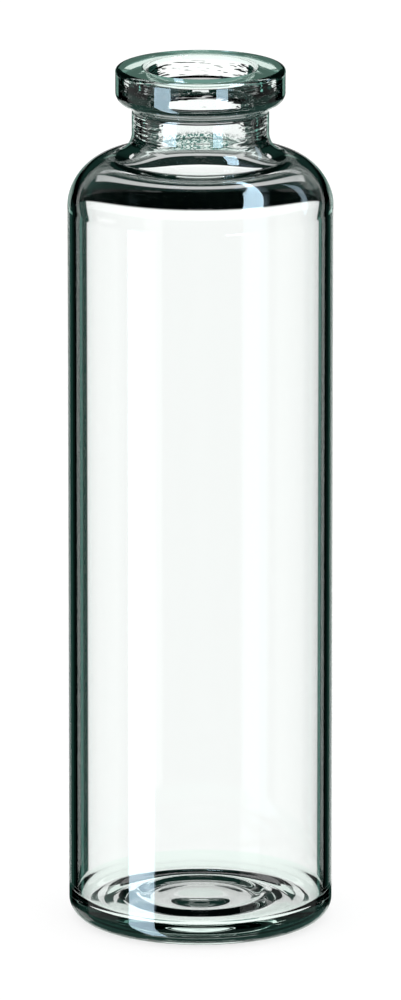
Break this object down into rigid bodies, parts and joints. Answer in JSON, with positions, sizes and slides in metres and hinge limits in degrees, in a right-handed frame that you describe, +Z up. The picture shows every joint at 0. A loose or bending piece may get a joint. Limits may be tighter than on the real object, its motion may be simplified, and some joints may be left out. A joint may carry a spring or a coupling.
{
  "type": "sample vial",
  "caption": "Clear glass crimp-neck vial: a straight tube with a rounded shoulder, a short neck with a rolled crimp flange, and a flat base with shallow rings.",
  "frame": {"origin": "centre of the rest ring's plane, on the axis of the tube, at the bottom of the vial", "axes": "+Z up along the axis of the tube, from the base to the lip; the vial is round about it, so +X and +Y are any two square directions"},
  "size_m": [0.031, 0.031, 0.102],
  "materials": {
    "glass": "clear, fire-polished"
  },
  "bodies": {
    "root": {"vial": "glass"}
  },
  "joints": []
}
